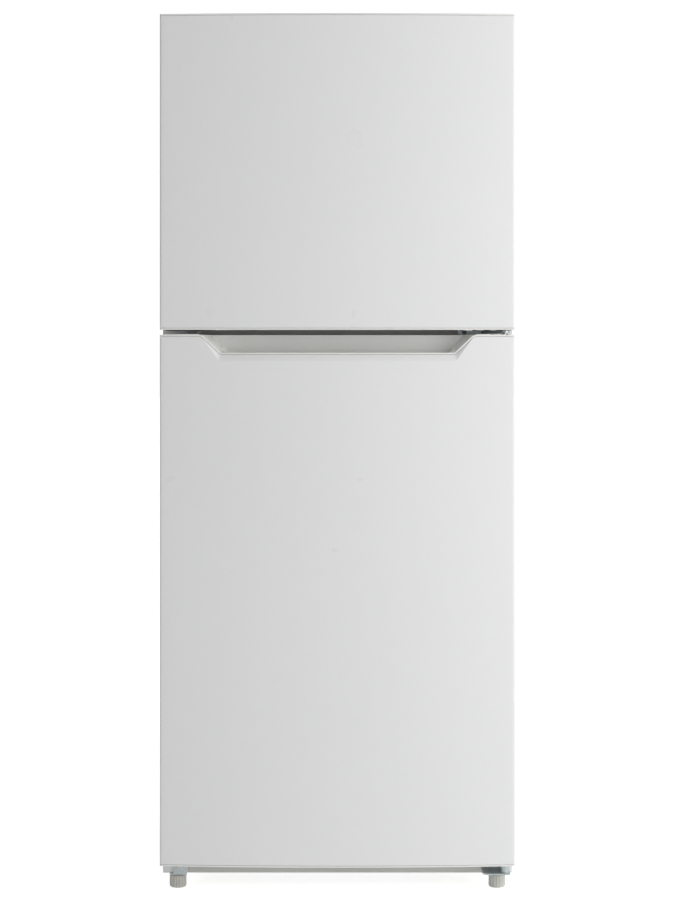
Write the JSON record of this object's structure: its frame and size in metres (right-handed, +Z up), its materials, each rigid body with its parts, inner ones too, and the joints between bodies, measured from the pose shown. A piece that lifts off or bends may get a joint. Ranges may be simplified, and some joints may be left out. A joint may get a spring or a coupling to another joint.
{
  "type": "top freezer refrigerator",
  "caption": "Free-standing white refrigerator with a freezer door over a taller fridge door, bowed door fronts and a finger pocket handle.",
  "frame": {"origin": "on the floor under the middle of the overall box", "axes": "+Z up, doors face -Y, hinges on the +X side"},
  "size_m": [0.6, 0.66, 1.492],
  "materials": {
    "white_paint": "satin",
    "door_paint": "gloss",
    "rear_sheet": "satin",
    "rail_paint": "satin",
    "foam": "matte",
    "liner_plastic": "gloss",
    "zinc_steel": "satin",
    "screw_steel": "satin",
    "white_plastic": "satin",
    "cap_plastic": "satin",
    "black_paint": "gloss",
    "black_rubber": "matte",
    "black_plastic": "matte",
    "copper_tube": "satin",
    "coil_aluminium": "satin",
    "frosted_plastic": "satin",
    "board_plastic": "matte",
    "shelf_glass": "gloss",
    "gasket_rubber": "matte",
    "clear_plastic": "gloss",
    "grey_plastic": "satin",
    "foot_plastic": "matte"
  },
  "bodies": {
    "cabinet": {"outer_shell": "white_paint", "rear_panel": "rear_sheet", "insulation": "foam", "freezer_liner": "liner_plastic", "fridge_liner": "liner_plastic", "mullion_rail": "rail_paint", "base_rail": "rail_paint", "base_tray": "zinc_steel", "niche_panel": "rear_sheet", "top_hinge": "zinc_steel", "top_hinge_cover": "white_plastic", "middle_hinge": "zinc_steel", "bottom_hinge": "zinc_steel", "left_foot_bracket": "zinc_steel", "hinge_screws": "screw_steel", "hole_plugs": "white_plastic", "compressor": "black_paint", "compressor_grommets": "black_rubber", "relay_cover": "black_plastic", "refrigerant_pipes": "copper_tube", "filter_drier": "copper_tube", "drip_tray": "black_plastic", "condenser_tubes": "copper_tube", "evaporator": "coil_aluminium", "defrost_heater": "coil_aluminium", "duct_panel": "liner_plastic", "fan_motor": "black_plastic", "control_housing": "liner_plastic", "lamp_lens": "frosted_plastic", "lamp_board": "board_plastic", "glass_shelves": "shelf_glass", "shelf_trims": "white_plastic", "cord_gland": "black_rubber"},
    "freezer_door": {"freezer_door_skin": "door_paint", "freezer_door_top_cap": "cap_plastic", "freezer_door_bottom_cap": "cap_plastic", "freezer_door_foam": "foam", "freezer_door_liner": "liner_plastic", "freezer_door_gasket": "gasket_rubber"},
    "fridge_door": {"fridge_door_skin": "door_paint", "fridge_door_top_cap": "cap_plastic", "fridge_door_bottom_cap": "cap_plastic", "fridge_door_foam": "foam", "fridge_door_liner": "liner_plastic", "fridge_door_gasket": "gasket_rubber"},
    "upper_freezer_bin": {"freezer_bin_upper": "clear_plastic"},
    "lower_freezer_bin": {"freezer_bin_lower": "clear_plastic"},
    "upper_fridge_bin": {"fridge_bin_upper": "clear_plastic"},
    "middle_fridge_bin": {"fridge_bin_middle": "clear_plastic"},
    "lower_fridge_bin": {"fridge_bin_lower": "clear_plastic"},
    "left_crisper": {"crisper_left": "clear_plastic"},
    "right_crisper": {"crisper_right": "clear_plastic"},
    "temperature_knob": {"thermostat_knob": "white_plastic"},
    "air_slider": {"airflow_slider": "grey_plastic"},
    "fan": {"fan_blade": "white_plastic"},
    "left_foot": {"foot_left": "foot_plastic"},
    "right_foot": {"foot_right": "foot_plastic"},
    "left_roller": {"roller_left": "black_plastic"},
    "right_roller": {"roller_right": "black_plastic"},
    "switch_plunger": {"door_switch_plunger": "white_plastic"}
  },
  "joints": [
    {"name": "freezer_door_hinge", "type": "hinge", "parent": "cabinet", "child": "freezer_door", "pos_m": [0.284, -0.293, 1.221], "axis": [0, 0, 1], "range_deg": [0, 120]},
    {"name": "fridge_door_hinge", "type": "hinge", "parent": "cabinet", "child": "fridge_door", "pos_m": [0.284, -0.293, 0.498], "axis": [0, 0, 1], "range_deg": [0, 120]},
    {"name": "left_crisper_slide", "type": "slide", "parent": "cabinet", "child": "left_crisper", "axis": [0, -1, 0], "range_m": [0, 0.22]},
    {"name": "right_crisper_slide", "type": "slide", "parent": "cabinet", "child": "right_crisper", "axis": [0, -1, 0], "range_m": [0, 0.22]},
    {"name": "switch_plunger_slide", "type": "slide", "parent": "cabinet", "child": "switch_plunger", "axis": [0, -1, 0], "range_m": [0, 0.006]},
    {"name": "temperature_knob_turn", "type": "hinge", "parent": "cabinet", "child": "temperature_knob", "pos_m": [-0.06, -0.121, 0.887], "axis": [0, 0, 1], "range_deg": [0, 270]},
    {"name": "air_slider_travel", "type": "slide", "parent": "cabinet", "child": "air_slider", "axis": [1, 0, 0], "range_m": [-0.028, 0.028]},
    {"name": "fan_spin", "type": "hinge", "parent": "cabinet", "child": "fan", "pos_m": [0, 0.2135, 1.323], "axis": [0, 1, 0], "continuous": true},
    {"name": "left_foot_turn", "type": "hinge", "parent": "cabinet", "child": "left_foot", "pos_m": [-0.2735, -0.25, 0.02], "axis": [0, 0, 1], "continuous": true},
    {"name": "right_foot_turn", "type": "hinge", "parent": "cabinet", "child": "right_foot", "pos_m": [0.2735, -0.25, 0.02], "axis": [0, 0, 1], "continuous": true},
    {"name": "left_roller_spin", "type": "hinge", "parent": "cabinet", "child": "left_roller", "pos_m": [-0.234, 0.288, 0.0155], "axis": [1, 0, 0], "continuous": true},
    {"name": "right_roller_spin", "type": "hinge", "parent": "cabinet", "child": "right_roller", "pos_m": [0.234, 0.288, 0.0155], "axis": [1, 0, 0], "continuous": true},
    {"name": "upper_freezer_bin_lift", "type": "slide", "parent": "freezer_door", "child": "upper_freezer_bin", "axis": [0, 0, 1], "range_m": [0, 0.02]},
    {"name": "lower_freezer_bin_lift", "type": "slide", "parent": "freezer_door", "child": "lower_freezer_bin", "axis": [0, 0, 1], "range_m": [0, 0.02]},
    {"name": "upper_fridge_bin_lift", "type": "slide", "parent": "fridge_door", "child": "upper_fridge_bin", "axis": [0, 0, 1], "range_m": [0, 0.02]},
    {"name": "middle_fridge_bin_lift", "type": "slide", "parent": "fridge_door", "child": "middle_fridge_bin", "axis": [0, 0, 1], "range_m": [0, 0.02]},
    {"name": "lower_fridge_bin_lift", "type": "slide", "parent": "fridge_door", "child": "lower_fridge_bin", "axis": [0, 0, 1], "range_m": [0, 0.02]}
  ],
  "couplings": [
    {"joint": "left_crisper_slide", "follows": "fridge_door_hinge", "m_per_rad": 0.105},
    {"joint": "right_crisper_slide", "follows": "fridge_door_hinge", "m_per_rad": 0.105},
    {"joint": "switch_plunger_slide", "follows": "fridge_door_hinge", "m_per_rad": 0.0028}
  ]
}
